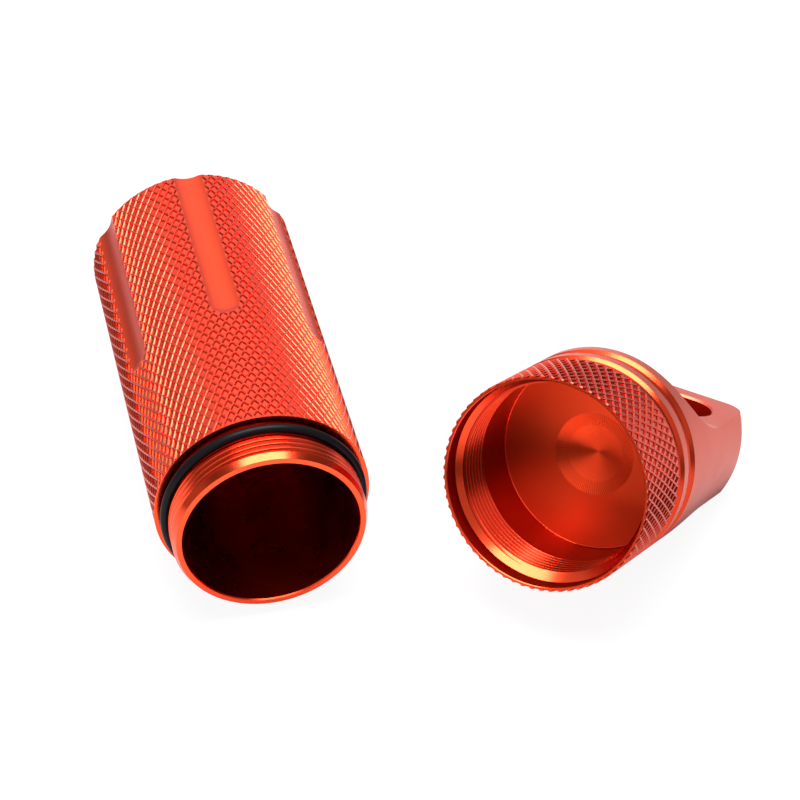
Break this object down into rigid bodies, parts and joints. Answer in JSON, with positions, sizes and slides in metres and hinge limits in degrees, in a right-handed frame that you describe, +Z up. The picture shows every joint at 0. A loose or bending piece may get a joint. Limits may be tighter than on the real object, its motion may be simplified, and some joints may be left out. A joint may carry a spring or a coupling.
{
  "type": "waterproof capsule",
  "caption": "Screw-top waterproof metal capsule, laid open: knurled fluted tube with threaded neck and rubber seal ring, and its threaded cap with a slotted key-ring lug.",
  "frame": {"origin": "on the floor, under the middle of the box round the tube and the cap as they lie", "axes": "+Z up, +Y along the tube from its mouth to its closed end, +X from the tube towards the cap"},
  "size_m": [0.0976, 0.0912, 0.04],
  "materials": {
    "anodised_aluminium": "satin orange-red anodised aluminium, with a fine diamond knurl on the tube's outside and the cap's grip",
    "seal_rubber": "black nitrile rubber, smooth with a soft sheen"
  },
  "bodies": {
    "tube": {"capsule_tube": "anodised_aluminium", "seal_ring": "seal_rubber"},
    "cap": {"screw_cap": "anodised_aluminium"}
  },
  "joints": [
    {"name": "cap_turn", "type": "hinge", "parent": "tube", "child": "cap", "pos_m": [0.00935, -0.03342, 0.02443], "axis": [0.6024, 0.6905, -0.4004], "continuous": true}
  ]
}
